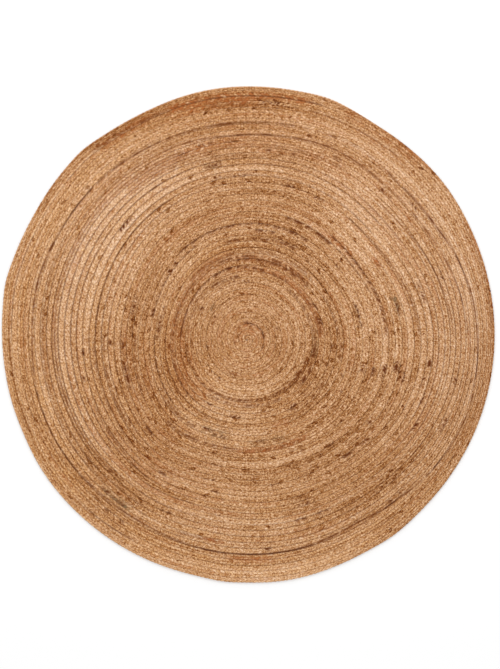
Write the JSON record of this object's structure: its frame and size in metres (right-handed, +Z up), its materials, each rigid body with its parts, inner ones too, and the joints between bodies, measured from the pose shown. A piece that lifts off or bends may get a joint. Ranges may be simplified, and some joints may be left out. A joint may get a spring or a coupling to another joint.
{
  "type": "round jute rug",
  "caption": "Flat round floor rug of natural jute: one braid coiled from the heart outwards and sewn edge to edge, with ribbed turns and a slightly uneven rim.",
  "frame": {"origin": "on the floor under the middle of the rug's outline", "axes": "+Z up through the rug's thickness; +Y towards the top of the rug as the picture shows it, +X to its right"},
  "size_m": [1.796, 1.8094, 0.009],
  "materials": {
    "jute": "natural unbleached jute fibre, matt with a faint sheen along the strands, golden tan with darker flecks"
  },
  "bodies": {
    "root": {"jute_rug": "jute"}
  },
  "joints": []
}
